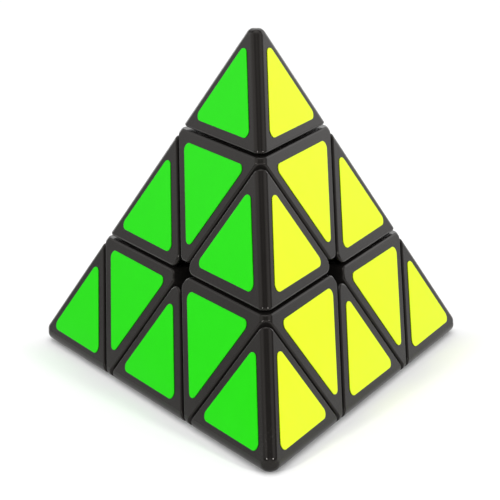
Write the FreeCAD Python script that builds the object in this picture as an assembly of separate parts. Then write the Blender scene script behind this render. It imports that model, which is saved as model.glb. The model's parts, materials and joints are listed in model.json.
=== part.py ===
"""Pyramid twisty puzzle: four turning corner layers, four free tips, a hidden four-armed core.

Frame: +Z up, the puzzle stands on its base stickers at z = 0, with its apex over the origin.
The front corner points to -Y. All sizes are in millimetres.

Every cut of the puzzle is at right angles to one of four axes that run from the centre to the
corners, so each piece is described by limits on its distance along those four axes.
"""
import FreeCAD
import Part
import itertools
import math
import os

Vector = FreeCAD.Vector

# Driving dimensions
EDGE = 104.0                # edge of the sharp tetrahedron, before its edges are rounded
OUTER_ROUND = 1.8           # rounding of the six long edges and the four blunt points
POINT_CUT = 4.35            # the four points stop this far short of the sharp corners
STICKER = 0.2               # thickness of a sticker
TIP_STICKER_INSET = 2.72    # plastic left between a sticker and a cut line, on a tip
AXIAL_STICKER_INSET = 2.6   # the same on an axial
EDGE_STICKER_INSET = 2.97   # the same on an edge piece
RIM_STICKER_INSET = 3.8     # plastic left between a sticker and a long edge
STICKER_CORNER = 1.4        # corner radius of a sticker
GAP = 0.25                  # half of the gap between neighbouring pieces
WALL = 1.8                  # wall of the hollow shells
EDGE_BREAK = 0.5            # rounding of a piece's edges along the cuts
CORNER_ROUND = 2.4          # rounding of the edge pieces' inner edges, seen at the face centres
CORNER_CUT = 2.6            # an axial's corners stop this far from a face centre
CORNER_SIDE_ROUND = 1.6     # rounding at both sides of those blunt corners
CREASE_ANGLE = 0.15         # in radians: faces that meet at less than this count as smooth
TOLERANCE = 1e-5            # lengths that differ by less than this are the same

# Inner mechanism, as distances from the centre of the puzzle
CORE_RADIUS = 9.8
FOOT_INNER = 10.0
FOOT_OUTER = 15.0
SHELL_INNER = 15.2
FOOT_ANGLE = 69.3           # half angle of the cone that a layer's feet fill
FOOT_GAP = 0.15             # half of the gap between neighbouring feet
ARM_RADIUS = 3.0
ARM_END = 12.2
ARM_PLAY = 0.25
SHELF_TOP = 14.8            # the spring stands here
SPRING_TOP = 21.5
WASHER_RADIUS = 3.2
WASHER_THICKNESS = 0.5
SHANK_RADIUS = 1.2
SHANK_END = 4.5
SHANK_PLAY = 0.3
SHANK_CLEARANCE = 0.5       # drilled past the screw's end
HEAD_RADIUS = 2.6
HEAD_THICKNESS = 2.0
RECESS_WIDTH = 0.7
RECESS_REACH = 1.7          # half length of the cross recess's arms
RECESS_DEPTH = 1.2
WASHER_PLAY = 0.1
WIRE_RADIUS = 0.35
COIL_RADIUS = 2.35
COIL_TURNS = 4
SPRING_PLAY = 0.05
BORE_RADIUS = 3.8
POST_RADIUS = 5.4
POST_PLAY = 0.05
STUD_RADIUS = 2.8
STUD_PLAY = 0.2
BARB_RADIUS = 3.5
BARB_LENGTH = 1.5
BARB_DROP = 0.3
STUD_SLIT = 0.8
STUD_SLIT_STOP = 0.5        # the slit ends this far below the tip's plate
TIP_PLATE = 2.0
STEM_THICKNESS = 1.8
STEM_WIDTH = 9.0
STEM_BOTTOM = 11.0
STEM_TOP = 20.5

# Worked out from the edge: distances from the centre along a corner's axis
FACE = EDGE * math.sqrt(6) / 12         # centre to a face
LAYER = FACE / 3                        # centre to a layer's cut
TIP = LAYER + 4 * FACE / 3              # centre to a tip's cut
CENTRE = Vector(0, 0, FACE + STICKER)

CORNERS = ["top", "front", "left", "right"]
LOW = math.sqrt(8) / 3
AXES = {
    "top": Vector(0, 0, 1),
    "front": Vector(0, -LOW, -1 / 3),
    "left": Vector(-LOW * math.sqrt(3) / 2, LOW / 2, -1 / 3),
    "right": Vector(LOW * math.sqrt(3) / 2, LOW / 2, -1 / 3),
}
PAIRS = list(itertools.combinations(CORNERS, 2))


def others(*corners):
    return [corner for corner in CORNERS if corner not in corners]


def convex(planes):
    """Solid kept by planes given as (outward unit normal, distance from the centre)."""
    vertices = []
    for first, second, third in itertools.combinations(planes, 3):
        cross = second[0].cross(third[0])
        volume = first[0].dot(cross)
        if abs(volume) < TOLERANCE:
            continue
        point = cross * first[1]
        point += third[0].cross(first[0]) * second[1]
        point += first[0].cross(second[0]) * third[1]
        point = point * (1 / volume)
        inside = all(normal.dot(point) < distance + TOLERANCE for normal, distance in planes)
        if inside and all((point - other).Length > TOLERANCE for other in vertices):
            vertices.append(point)
    faces = []
    for normal, distance in planes:
        ring = [point for point in vertices if abs(normal.dot(point) - distance) < TOLERANCE]
        if len(ring) < 3:
            continue
        middle = Vector(0, 0, 0)
        for point in ring:
            middle += point * (1 / len(ring))
        across = (ring[0] - middle).normalize()
        along = normal.cross(across)
        ring.sort(key=lambda point: math.atan2(*((point - middle).dot(way) for way in (along, across))))
        faces.append(Part.Face(Part.makePolygon(ring + ring[:1])))
    return Part.makeSolid(Part.makeShell(faces))


def region(low, high):
    """Planes of the space between two distances along each axis."""
    planes = [(AXES[corner] * -1, -low[corner]) for corner in low]
    return planes + [(AXES[corner], high[corner]) for corner in high]


def sphere(radius):
    return Part.makeSphere(radius)


def rod(corner, radius, start, end):
    """Cylinder about a corner's axis."""
    return Part.makeCylinder(radius, end - start, AXES[corner] * start, AXES[corner])


def foot_cone(corner, shift):
    """Cone that a layer's feet fill, moved along its axis to leave a gap."""
    length = 3 * FOOT_OUTER
    flare = length * math.tan(math.radians(FOOT_ANGLE))
    apex = AXES[corner] * (shift / math.sin(math.radians(FOOT_ANGLE)))
    return Part.makeCone(0, flare, length, apex, AXES[corner])


def tip_limits(corner):
    low = {other: -FACE for other in others(corner)}
    low[corner] = TIP + GAP
    return low, {}


def axial_limits(corner):
    low = {other: -FACE for other in others(corner)}
    low[corner] = LAYER + GAP
    high = {other: LAYER - GAP for other in others(corner)}
    high[corner] = TIP - GAP
    return low, high


def edge_limits(pair):
    low = {corner: LAYER + GAP for corner in pair}
    low.update({other: -FACE for other in others(*pair)})
    return low, {}


def is_outer(limits, corner):
    return abs(limits[0].get(corner, 0) + FACE) < TOLERANCE


def towards(face, corner):
    """Unit direction in the plane of a face that points towards a corner."""
    return (AXES[corner] + AXES[face] * (1 / 3)) * (1 / LOW)


def inset(limits, amount):
    low, high = limits
    return {key: low[key] + amount for key in low}, {key: high[key] - amount for key in high}


def round_body():
    """The whole outer form, a tetrahedron with blunt points and rounded edges."""
    low = {corner: -FACE for corner in CORNERS}
    high = {corner: 3 * FACE - POINT_CUT for corner in CORNERS}
    sharp = convex(region(low, high))
    return sharp.makeFillet(OUTER_ROUND, sharp.Edges)


BODY = round_body()


def creases(solid):
    """The edges at which two faces meet at an angle rather than smoothly."""
    found = []
    for edge in solid.Edges:
        middle = edge.valueAt((edge.FirstParameter + edge.LastParameter) / 2)
        faces = solid.ancestorsOfType(edge, Part.Face)
        normals = [face.normalAt(*face.Surface.parameter(middle)) for face in faces]
        if len(normals) == 2 and normals[0].getAngle(normals[1]) > CREASE_ANGLE:
            found.append(edge)
    return found


def rounded(solid):
    """Take the long outer edges of a piece from the whole body, then round its other edges."""
    piece = BODY.common(solid)
    return piece.makeFillet(EDGE_BREAK, creases(piece))


def tip_block(corner):
    return rounded(convex(region(*tip_limits(corner))))


def edge_block(pair):
    solid = convex(region(*edge_limits(pair)))
    innermost = min(solid.Edges, key=lambda edge: edge.CenterOfMass.Length)
    return rounded(solid.makeFillet(CORNER_ROUND, [innermost]))


def axial_block(corner):
    """Octahedron whose three corners at the face centres are cut off square."""
    limits = axial_limits(corner)
    blunt = [(towards(face, corner) * -1, -CORNER_CUT) for face in others(corner)]
    solid = convex(region(*limits) + blunt)
    cuts = [(AXES[other], LAYER - GAP) for other in others(corner)]
    upright = [edge for edge in solid.Edges if lies_on(edge, blunt) and lies_on(edge, cuts)]
    return rounded(solid.makeFillet(CORNER_SIDE_ROUND, upright))


def lies_on(edge, planes):
    """Whether an edge lies in one of the planes."""
    ends = [vertex.Point for vertex in edge.Vertexes]
    for normal, distance in planes:
        if all(abs(normal.dot(end) - distance) < TOLERANCE for end in ends):
            return True
    return False


def cavity(limits):
    return convex(region(*inset(limits, WALL))).cut(sphere(SHELL_INNER + WALL))


def core_spider():
    """Ball with four arms, drilled for the four screws."""
    spider = sphere(CORE_RADIUS)
    for corner in CORNERS:
        spider = spider.fuse(rod(corner, ARM_RADIUS, 0, ARM_END))
    for corner in CORNERS:
        spider = spider.cut(rod(corner, SHANK_RADIUS, SHANK_END - SHANK_CLEARANCE, ARM_END))
    return spider


def sideways(corner):
    """A unit direction at right angles to a corner's axis."""
    return towards(corner, others(corner)[0])


def bar(middle, along, length, side, width, depth_axis, depth):
    """Box centred on a point, with its three sides along three unit directions."""
    start = middle - along * (length / 2) - side * (width / 2) - depth_axis * (depth / 2)
    ring = [start, start + along * length, start + along * length + side * width, start + side * width]
    return Part.Face(Part.makePolygon(ring + ring[:1])).extrude(depth_axis * depth)


def screw(corner):
    """Pan-head screw that holds one layer to the core, with a cross recess."""
    seat = SPRING_TOP + WASHER_THICKNESS
    top = seat + HEAD_THICKNESS
    head = rod(corner, HEAD_RADIUS, seat, top)
    rim = [edge for edge in head.Edges if abs(edge.CenterOfMass.dot(AXES[corner]) - top) < TOLERANCE]
    head = head.makeFillet(HEAD_THICKNESS / 3, rim)
    solid = head.fuse(rod(corner, SHANK_RADIUS, SHANK_END, seat))
    first = sideways(corner)
    second = AXES[corner].cross(first)
    middle = AXES[corner] * top
    for along, side in ((first, second), (second, first)):
        slot = bar(middle, along, 2 * RECESS_REACH, side, RECESS_WIDTH, AXES[corner], 2 * RECESS_DEPTH)
        solid = solid.cut(slot)
    return solid


def washer(corner):
    disc = rod(corner, WASHER_RADIUS, SPRING_TOP, SPRING_TOP + WASHER_THICKNESS)
    return disc.cut(rod(corner, SHANK_RADIUS + WASHER_PLAY, 0, TIP))


def spring(corner):
    """Compression spring between an axial's shelf and the washer under the screw head.

    Each half turn is a flat arc, tilted so that it meets the next one smoothly.
    """
    start = SHELF_TOP + SPRING_PLAY + WIRE_RADIUS
    height = SPRING_TOP - SPRING_PLAY - WIRE_RADIUS - start
    halves = 2 * COIL_TURNS
    rise = height / halves
    bulge = math.hypot(COIL_RADIUS, rise / 2)
    arcs = []
    for half in range(halves):
        side = 1 if half % 2 == 0 else -1
        low = Vector(side * COIL_RADIUS, 0, half * rise)
        middle = Vector(0, side * bulge, (half + 0.5) * rise)
        high = Vector(-side * COIL_RADIUS, 0, (half + 1) * rise)
        arcs.append(Part.Arc(low, middle, high).toShape())
    section = Part.Wire(Part.makeCircle(WIRE_RADIUS, Vector(COIL_RADIUS, 0, 0), Vector(0, 1, 0)))
    coil = Part.Wire(arcs).makePipeShell([section], True, True)
    turn = FreeCAD.Rotation(Vector(0, 0, 1), AXES[corner])
    coil.Placement = FreeCAD.Placement(AXES[corner] * start, turn)
    return coil


def axial_foot(corner):
    """Inner half of an axial: the curved foot that rides on the core, and the hollow screw post."""
    foot = sphere(FOOT_OUTER).cut(sphere(FOOT_INNER)).common(foot_cone(corner, FOOT_GAP))
    for other in others(corner):
        foot = foot.cut(foot_cone(other, -FOOT_GAP))
    post = rod(corner, POST_RADIUS, FOOT_INNER, TIP - GAP - WALL).cut(sphere(FOOT_INNER))
    foot = foot.fuse(post)
    foot = foot.cut(rod(corner, ARM_RADIUS + ARM_PLAY, 0, ARM_END + ARM_PLAY))
    foot = foot.cut(rod(corner, SHANK_RADIUS + SHANK_PLAY, 0, SHELF_TOP))
    return foot.cut(rod(corner, BORE_RADIUS, SHELF_TOP, TIP))


def axial_shell(corner):
    """Outer half of an axial: a hollow octahedron with a hole in its roof for the tip's stud."""
    shell = axial_block(corner).cut(sphere(SHELL_INNER)).cut(cavity(axial_limits(corner)))
    shell = shell.cut(rod(corner, POST_RADIUS + POST_PLAY, 0, TIP - GAP - WALL))
    return shell.cut(rod(corner, STUD_RADIUS + STUD_PLAY, 0, TIP))


def stem(pair):
    """Tongue that joins an edge's foot to its shell."""
    first, second = AXES[pair[0]], AXES[pair[1]]
    middle = (first + second).normalize()
    thin = (first - second).normalize()
    length = STEM_TOP - STEM_BOTTOM
    centre = middle * (STEM_TOP - length / 2)
    return bar(centre, middle, length, thin, STEM_THICKNESS, middle.cross(thin), STEM_WIDTH)


def edge_foot(pair):
    """Lens-shaped hook that holds an edge under the axials on both sides of it."""
    foot = sphere(FOOT_OUTER).cut(sphere(FOOT_INNER))
    for corner in pair:
        foot = foot.common(foot_cone(corner, FOOT_GAP))
    return foot.fuse(stem(pair))


def edge_shell(pair):
    shell = edge_block(pair).cut(sphere(SHELL_INNER)).cut(cavity(edge_limits(pair)))
    return shell.cut(stem(pair))


def tip_plug(corner):
    """The space inside a tip cap, open at the cut."""
    low, high = inset(tip_limits(corner), WALL)
    low[corner] = TIP
    return convex(region(low, high))


def tip_cap(corner):
    return tip_block(corner).cut(tip_plug(corner))


def tip_base(corner):
    """Plate that closes a tip cap, with the split stud that snaps into the axial's roof."""
    start = TIP + GAP
    slab = convex(region({corner: start}, {corner: start + TIP_PLATE}) + region(*inset(
        ({other: -FACE for other in others(corner)}, {}), WALL)))
    barb_top = TIP - GAP - WALL - BARB_DROP
    barb_end = barb_top - BARB_LENGTH
    stud = rod(corner, STUD_RADIUS, barb_end, start + TIP_PLATE / 2)
    barb = Part.makeCone(STUD_RADIUS, BARB_RADIUS, BARB_LENGTH, AXES[corner] * barb_end, AXES[corner])
    length = start - barb_end
    middle = AXES[corner] * (start - length / 2 - STUD_SLIT_STOP)
    side = sideways(corner)
    slit = bar(middle, AXES[corner], length, side, STUD_SLIT, AXES[corner].cross(side), 3 * STUD_RADIUS)
    return slab.fuse(stud).fuse(barb).cut(slit)


def sticker(face, limits, cut_inset):
    """Sticker on one face of a piece, set in from the piece's sides, with round corners."""
    low, high = limits
    planes = [(AXES[face] * -1, FACE + STICKER), (AXES[face], -FACE)]
    for corner in others(face):
        direction = towards(face, corner)
        if is_outer(limits, corner):
            start = (-FACE - LAYER) / LOW + RIM_STICKER_INSET
        elif corner in low:
            start = (low[corner] - GAP - LAYER) / LOW + cut_inset
        if corner in low:
            planes.append((direction * -1, -start))
        if corner in high:
            planes.append((direction, (high[corner] + GAP - LAYER) / LOW - cut_inset))
    plate = convex(planes)
    upright = [edge for edge in plate.Edges if edge.Length < 2 * STICKER]
    return plate.makeFillet(STICKER_CORNER, upright)


def stickers(limits, cut_inset):
    """The stickers of one piece, one on each of its outer faces."""
    faces = [face for face in CORNERS if is_outer(limits, face)]
    return Part.makeCompound([sticker(face, limits, cut_inset) for face in faces])


def save(shape, name):
    shape.translate(CENTRE)
    shape.exportStep("parts/" + name + ".step")
    solids = shape.Solids
    state = "ok" if shape.isValid() and solids else "BAD"
    print(f"{name:28s} {len(solids)} solid  {sum(solid.Volume for solid in solids):10.2f} mm3  {state}")


def main():
    os.makedirs("parts", exist_ok=True)
    save(core_spider(), "core_spider")
    for corner in CORNERS:
        save(screw(corner), "screw_" + corner)
        save(washer(corner), "washer_" + corner)
        save(spring(corner), "spring_" + corner)
        save(axial_foot(corner), "axial_foot_" + corner)
        save(axial_shell(corner), "axial_shell_" + corner)
        save(stickers(axial_limits(corner), AXIAL_STICKER_INSET), "axial_stickers_" + corner)
        save(tip_base(corner), "tip_base_" + corner)
        save(tip_cap(corner), "tip_cap_" + corner)
        save(stickers(tip_limits(corner), TIP_STICKER_INSET), "tip_stickers_" + corner)
    for pair in PAIRS:
        name = "_".join(pair)
        save(edge_foot(pair), "edge_foot_" + name)
        save(edge_shell(pair), "edge_shell_" + name)
        save(stickers(edge_limits(pair), EDGE_STICKER_INSET), "edge_stickers_" + name)


main()
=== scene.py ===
"""Looks of the pyramid twisty puzzle: moulded plastic, 36 vinyl stickers, lights and camera.

Lengths are in metres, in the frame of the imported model. The four layer joints share the puzzle's
centre, and their axes run to its four corners, so every place below is worked out from them.
"""

import itertools
import json
import math
import random

import bpy
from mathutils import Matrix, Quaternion, Vector


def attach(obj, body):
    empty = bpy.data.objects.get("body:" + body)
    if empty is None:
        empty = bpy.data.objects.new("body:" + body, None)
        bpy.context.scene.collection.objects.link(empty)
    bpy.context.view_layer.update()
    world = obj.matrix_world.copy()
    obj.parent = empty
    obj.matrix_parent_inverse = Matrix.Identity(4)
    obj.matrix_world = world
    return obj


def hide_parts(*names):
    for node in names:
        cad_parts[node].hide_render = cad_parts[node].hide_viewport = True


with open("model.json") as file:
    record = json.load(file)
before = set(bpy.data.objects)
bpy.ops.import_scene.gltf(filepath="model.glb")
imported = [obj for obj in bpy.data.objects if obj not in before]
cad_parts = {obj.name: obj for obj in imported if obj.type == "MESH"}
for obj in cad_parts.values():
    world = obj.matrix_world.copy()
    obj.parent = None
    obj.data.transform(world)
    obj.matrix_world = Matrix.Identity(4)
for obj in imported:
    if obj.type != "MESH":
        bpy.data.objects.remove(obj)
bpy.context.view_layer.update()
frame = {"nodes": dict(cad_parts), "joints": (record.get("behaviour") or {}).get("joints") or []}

# Stickers
STICKER = 0.0002               # thickness
CUT_INSETS = {"tip": 0.00272, "axial": 0.0026, "edge": 0.00297}    # plastic up to a cut line
RIM_INSET = 0.0038             # plastic between a sticker and a long edge
STICKER_CORNER = 0.0014        # corner radius
STICKER_LIP = 0.00007          # rounding of its upper edge
STICKER_CROWN = 0.00001        # how much its middle stands proud
CROWN_INSET = 1.5 * STICKER_LIP    # where the crown starts
CORNER_STEPS = 12              # segments in a corner arc
LIP_STEPS = 3
CROWN_STEPS = 4
STICKER_DRIFT = 0.00014        # how far a sticker may be stuck off its place
STICKER_TWIST = math.radians(0.5)
STICKER_SEED = 11

# Colours, linear; a pair is what a material's colour varies between
STICKER_COLOURS = {
    "green": (0.012, 0.6, 0.001, 1),
    "yellow": (0.7, 0.88, 0.013, 1),
    "red": (0.78, 0.012, 0.012, 1),
    "blue": (0.008, 0.09, 0.66, 1),
}
SHELL_SHEEN = (1, 0.94, 0.88, 1)        # tint of what the shells mirror
SHELL_COLOURS = ((0.0085, 0.0076, 0.007, 1), (0.0115, 0.0104, 0.0097, 1))
SCUFF_COLOUR = (0.022, 0.0205, 0.0195, 1)
INNER_COLOURS = ((0.022, 0.022, 0.024, 1), (0.034, 0.034, 0.036, 1))
STEEL_COLOURS = ((0.56, 0.57, 0.6, 1), (0.68, 0.68, 0.67, 1))
FLOOR_COLOUR = (0.84, 0.84, 0.84, 1)
NOISE_RANGE = (0.3, 0.7)       # what a noise's values mostly keep to

# A face is named after the corner opposite to it
FACE_COLOURS = {"right": "green", "left": "yellow", "front": "red", "top": "blue"}

# Camera and floor, with distances in lengths of the sharp tetrahedron's edge
AZIMUTH = -2.48
ELEVATION = 17.62
ROLL = -0.24
DISTANCE = 4.368
TARGET = Vector((-0.0146, 0, 0.2888))
LENS = 145.5
FLOOR_REACH = 40

# Soft patches of light around the puzzle: azimuth from the front, elevation, spread, strength
GLOW = 0.05
PATCHES = {
    "side_left": (-113, 20, 24, 1.5),
    "side_right": (127, 15, 24, 2.0),
    "high_left": (-80, 40, 30, 1.3),
    "high_right": (80, 40, 30, 1.3),
    "front": (0, 8, 40, 1.0),
    "overhead": (0, 90, 38, 2.3),
    "back": (180, 30, 42, 1.5),
    "rim_left": (-150, 5, 22, 3.4),
    "rim_right": (155, 5, 22, 3.4),
}

# Small lamps that put glints on the rounded corners
LAMPS = {"lamp_left": (-45, 24), "lamp_right": (45, 24)}
LAMP_DISTANCE = 0.9
LAMP_SIZE = 0.08
LAMP_POWER = 3.2

# The puzzle's own measures
LAYERS = {
    joint["name"].removeprefix("layer_"): joint
    for joint in frame["joints"]
    if joint["name"].startswith("layer_")
}
CORNERS = list(LAYERS)
AXES = {corner: Vector(joint["axis"]) for corner, joint in LAYERS.items()}
CENTRE = Vector(LAYERS["top"]["pos_m"])
FACE = CENTRE.z - STICKER          # centre to a face
EDGE = FACE * 12 / math.sqrt(6)    # edge of the sharp tetrahedron
AXIS_SINE = math.sqrt(8) / 3       # sine of the angle between two axes
STEP = 4 * FACE / 3 / AXIS_SINE    # height of a small triangle


def new_material(name, **values):
    """Principled material with fixed values, given by socket name with _ for a space."""
    made = bpy.data.materials.new(name)
    made.use_nodes = True
    shader = made.node_tree.nodes["Principled BSDF"]
    for socket, value in values.items():
        shader.inputs[socket.replace("_", " ")].default_value = value
    return made


def add_node(owner, kind, inputs=(), **settings):
    """Node of a material or the world, its inputs either linked or given as fixed values."""
    node = owner.node_tree.nodes.new(kind)
    for key, value in settings.items():
        setattr(node, key, value)
    for socket, value in dict(inputs).items():
        if isinstance(value, bpy.types.NodeSocket):
            owner.node_tree.links.new(value, node.inputs[socket])
        else:
            node.inputs[socket].default_value = value
    return node


def noise(material, size, detail=2.0, roughness=0.5):
    """Noise with features of about that size, fixed to the object."""
    place = add_node(material, "ShaderNodeTexCoord").outputs["Object"]
    inputs = {"Vector": place, "Scale": 1 / size, "Detail": detail, "Roughness": roughness}
    return add_node(material, "ShaderNodeTexNoise", inputs).outputs["Fac"]


def remap(owner, value, source, target):
    """Value moved from one range to another, each given as its low and high end."""
    names = ("From Min", "From Max", "To Min", "To Max")
    inputs = {"Value": value} | dict(zip(names, (*source, *target)))
    return add_node(owner, "ShaderNodeMapRange", inputs).outputs["Result"]


def blend(material, factor, first, second):
    """Mix of two colours, each an RGBA tuple or a socket."""
    inputs = {0: factor, 6: first, 7: second}
    return add_node(material, "ShaderNodeMix", inputs, data_type="RGBA").outputs[2]


def combine(owner, operation, first, second):
    inputs = {0: first, 1: second}
    return add_node(owner, "ShaderNodeMath", inputs, operation=operation).outputs[0]


def feed(material, socket, value):
    shader = material.node_tree.nodes["Principled BSDF"]
    material.node_tree.links.new(value, shader.inputs[socket])


def uneven_gloss(material, size, low, high, detail=3):
    """Roughness that wanders between two values, with features of about that size."""
    wander = noise(material, size, detail)
    feed(material, "Roughness", remap(material, wander, NOISE_RANGE, (low, high)))


def bump(material, height, depth, below=None):
    """Bump of a depth in metres, on top of another bump if one is given."""
    inputs = {"Height": height, "Distance": depth, "Strength": 1.0}
    if below is not None:
        inputs["Normal"] = below
    return add_node(material, "ShaderNodeBump", inputs).outputs["Normal"]


def black_plastic():
    """Semi-gloss moulded shell: fine mould grain, faint ripples, and a few light scuffs."""
    gloss = {"IOR": 1.5, "Specular_IOR_Level": 0.21, "Specular_Tint": SHELL_SHEEN}
    made = new_material("black_plastic", **gloss)
    base = blend(made, noise(made, 0.012, 3), *SHELL_COLOURS)
    scuffs = combine(made, "MULTIPLY", noise(made, 0.0005, 4, 0.65), noise(made, 0.016))
    worn = remap(made, scuffs, (0.42, 0.5), (0, 1))
    feed(made, "Base Color", blend(made, worn, base, SCUFF_COLOUR))
    uneven_gloss(made, 0.003, 0.13, 0.17)
    ripples = bump(made, noise(made, 0.008, 1), 0.00001)
    feed(made, "Normal", bump(made, noise(made, 0.0003), 0.0000002, ripples))
    return made


def inner_plastic():
    """Plain moulding of the mechanism, a little greasy."""
    made = new_material("inner_plastic", IOR=1.5)
    feed(made, "Base Color", blend(made, noise(made, 0.006, 3), *INNER_COLOURS))
    uneven_gloss(made, 0.004, 0.3, 0.55, detail=4)
    feed(made, "Normal", bump(made, noise(made, 0.0003), 0.000004))
    return made


def steel():
    """Zinc-plated hardware with slightly uneven plating."""
    made = new_material("steel", Metallic=1.0)
    feed(made, "Base Color", blend(made, noise(made, 0.002, 3), *STEEL_COLOURS))
    uneven_gloss(made, 0.0006, 0.2, 0.36)
    feed(made, "Normal", bump(made, noise(made, 0.0002), 0.000002))
    return made


def vinyl(name, colour):
    """Glossy printed film, with a faint orange-peel surface and a slightly uneven print."""
    made = new_material("sticker_" + name, IOR=1.4, Specular_IOR_Level=0.12)
    deeper = [0.96 * part for part in colour[:3]] + [1]
    feed(made, "Base Color", blend(made, noise(made, 0.005), deeper, colour))
    uneven_gloss(made, 0.002, 0.11, 0.14)
    feed(made, "Normal", bump(made, noise(made, 0.0013, 1), 0.0000015))
    return made


def finish_cad_nodes():
    """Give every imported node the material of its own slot."""
    finishes = {
        "black_plastic": black_plastic(),
        "inner_plastic": inner_plastic(),
        "steel": steel(),
    }
    for node in frame["nodes"].values():
        slot = node.material_slots[0]
        name = slot.material.name.split(".")[0]
        if name in finishes:
            slot.material = finishes[name]


def towards(face, corner):
    """Unit direction in the plane of a face that points to one of its corners."""
    return (AXES[corner] + AXES[face] / 3) / AXIS_SINE


def small_triangles(face):
    """The nine small triangles of a face: piece kind, its corners, and each side's place.

    A side's place is how many small triangles' heights it lies from the face's centre, towards
    the corner opposite to it.
    """
    corners = [corner for corner in CORNERS if corner != face]
    found = []
    for corner in corners:
        found.append(("tip", corner, {other: 1 if other == corner else -1 for other in corners}))
        found.append(("axial", corner, {other: 1 if other == corner else 0 for other in corners}))
    for pair in itertools.combinations(corners, 2):
        sides = {other: 0 if other in pair else -1 for other in corners}
        found.append(("edge", "_".join(pair), sides))
    return found


def corner_centres(face, kind, sides):
    """Centre and outward direction of each corner arc of a sticker, in order round the face.

    A point of the face that lies so far towards each of the three corners, which adds up to
    nothing, is at two thirds of the sum of these steps.
    """
    facing = -1 if kind == "axial" else 1
    limits = {}
    for corner, place in sides.items():
        inset = RIM_INSET if place == -1 else CUT_INSETS[kind]
        limits[corner] = place * STEP + facing * (inset + STICKER_CORNER)
    outward = -AXES[face]
    first = towards(face, next(iter(sides)))
    second = outward.cross(first)
    found = []
    for corner in sides:
        reach = {other: limits[other] for other in sides}
        reach[corner] = -sum(limits[other] for other in sides if other != corner)
        middle = sum((towards(face, other) * reach[other] for other in sides), Vector()) * 2 / 3
        found.append((middle, towards(face, corner) * facing))
    found.sort(key=lambda item: math.atan2(item[1].dot(second), item[1].dot(first)))
    return found


def sticker_profile():
    """Inset and height of each ring of a sticker, from its base over its rounded upper edge."""
    rim = STICKER - STICKER_CROWN
    profile = [(0, 0)]
    for step in range(LIP_STEPS + 1):
        turn = math.pi / 2 * step / LIP_STEPS
        height = rim - STICKER_LIP * (1 - math.sin(turn))
        profile.append((STICKER_LIP * (1 - math.cos(turn)), height))
    profile.append((CROWN_INSET, rim))
    return profile


def sticker_rings(face, kind, sides):
    """Rings of points of one sticker, the last ones shrinking to its slightly crowned middle."""
    outward = -AXES[face]
    arcs = corner_centres(face, kind, sides)
    rings = []
    for inset, height in sticker_profile():
        ring = []
        for middle, direction in arcs:
            across = outward.cross(direction)
            for step in range(CORNER_STEPS + 1):
                turn = math.radians(120) * (step / CORNER_STEPS - 0.5)
                spoke = direction * math.cos(turn) + across * math.sin(turn)
                ring.append(middle + spoke * (STICKER_CORNER - inset) + outward * height)
        rings.append(ring)
    rim = rings[-1]
    middle = sum(rim, Vector()) / len(rim)
    for step in range(1, CROWN_STEPS):
        share = step / CROWN_STEPS
        rise = outward * STICKER_CROWN * (1 - (1 - share) ** 2)
        rings.append([point.lerp(middle, share) + rise for point in rim])
    return rings, middle


def sticker_mesh(name, rings, origin, turn):
    """Closed mesh of a sticker whose rings are turned a little about a point on the face."""
    size = len(rings[0])
    points = [origin + turn @ point for ring in rings for point in ring]
    faces = [list(range(size))[::-1]]
    for level in range(len(rings) - 1):
        for step in range(size):
            here = level * size + step
            after = level * size + (step + 1) % size
            faces.append([here, after, after + size, here + size])
    faces.append(list(range((len(rings) - 1) * size, len(rings) * size)))
    mesh = bpy.data.meshes.new(name)
    mesh.from_pydata(points, [], faces)
    mesh.polygons.foreach_set("use_smooth", [True] * len(faces))
    mesh.polygons[0].use_smooth = False
    mesh.update()
    return mesh


def add_stickers():
    """One piece for each of the 36 stickers, each stuck on a hair off its place."""
    films = {name: vinyl(name, colour) for name, colour in STICKER_COLOURS.items()}
    draw = random.Random(STICKER_SEED)
    for face, colour in FACE_COLOURS.items():
        outward = -AXES[face]
        for kind, piece, sides in small_triangles(face):
            rings, middle = sticker_rings(face, kind, sides)
            turn = Quaternion(outward, draw.uniform(-STICKER_TWIST, STICKER_TWIST))
            drift = towards(face, next(iter(sides))) * draw.uniform(0, STICKER_DRIFT)
            drift.rotate(Quaternion(outward, draw.uniform(0, 2 * math.pi)))
            origin = CENTRE + outward * FACE + middle - turn @ middle + drift
            name = f"sticker_{colour}_{kind}_{piece}"
            sticker = bpy.data.objects.new(name, sticker_mesh(name, rings, origin, turn))
            bpy.context.scene.collection.objects.link(sticker)
            sticker.data.materials.append(films[colour])
            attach(sticker, f"{kind}_{piece}")
            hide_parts(f"{kind}_stickers_{piece}")


def add_floor():
    """A plain pale floor, wide enough to fill every view from above it."""
    half = FLOOR_REACH * EDGE
    mesh = bpy.data.meshes.new("floor")
    corners = [(-half, -half, 0), (half, -half, 0), (half, half, 0), (-half, half, 0)]
    mesh.from_pydata(corners, [], [(0, 1, 2, 3)])
    floor = bpy.data.objects.new("floor", mesh)
    bpy.context.scene.collection.objects.link(floor)
    mesh.materials.append(new_material("floor", Base_Color=FLOOR_COLOUR, Roughness=0.9))


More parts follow.
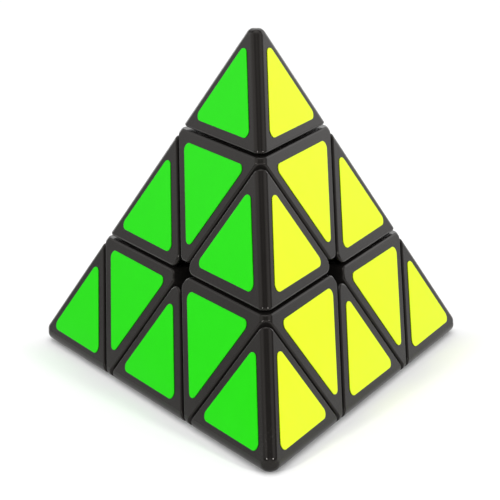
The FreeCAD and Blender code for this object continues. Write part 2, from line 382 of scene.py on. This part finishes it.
def direction(azimuth, elevation):
    """Unit vector at angles in degrees; azimuth 0 is the front, and it grows to the right."""
    turn, rise = math.radians(azimuth), math.radians(elevation)
    level = math.cos(rise)
    return Vector((math.sin(turn) * level, -math.cos(turn) * level, math.sin(rise)))


def add_world():
    """A dim glow all round, and soft round patches of light on top of it."""
    world = bpy.data.worlds.new("studio")
    bpy.context.scene.world = world
    world.use_nodes = True
    place = add_node(world, "ShaderNodeTexCoord").outputs["Generated"]
    light = GLOW
    for azimuth, elevation, spread, strength in PATCHES.values():
        inputs = {0: place, 1: direction(azimuth, elevation)}
        dot = add_node(world, "ShaderNodeVectorMath", inputs, operation="DOT_PRODUCT")
        rim = math.cos(math.radians(spread))
        patch = remap(world, dot.outputs["Value"], (rim, 1), (0, strength))
        light = combine(world, "ADD", patch, light)
    background = world.node_tree.nodes["Background"]
    world.node_tree.links.new(light, background.inputs["Strength"])
    background.inputs["Color"].default_value = (1, 1, 1, 1)


def add_lamps():
    for name, angles in LAMPS.items():
        light = bpy.data.lights.new(name, "AREA")
        light.size = LAMP_SIZE
        light.energy = LAMP_POWER
        lamp = bpy.data.objects.new(name, light)
        bpy.context.scene.collection.objects.link(lamp)
        back = direction(*angles)
        lamp.location = CENTRE + back * LAMP_DISTANCE
        lamp.rotation_euler = back.to_track_quat("Z", "Y").to_euler()


def add_camera():
    camera = bpy.data.objects.new("camera", bpy.data.cameras.new("camera"))
    bpy.context.scene.collection.objects.link(camera)
    bpy.context.scene.camera = camera
    camera.data.lens = LENS
    camera.data.clip_start = 0.01
    back = direction(AZIMUTH, ELEVATION)
    camera.location = TARGET * EDGE + Vector((0, 0, STICKER)) + back * DISTANCE * EDGE
    roll = Quaternion((0, 0, 1), math.radians(ROLL))
    camera.rotation_mode = "QUATERNION"
    camera.rotation_quaternion = back.to_track_quat("Z", "Y") @ roll


finish_cad_nodes()
add_stickers()
add_floor()
add_world()
add_lamps()
add_camera()
bpy.context.scene.view_settings.view_transform = "Standard"
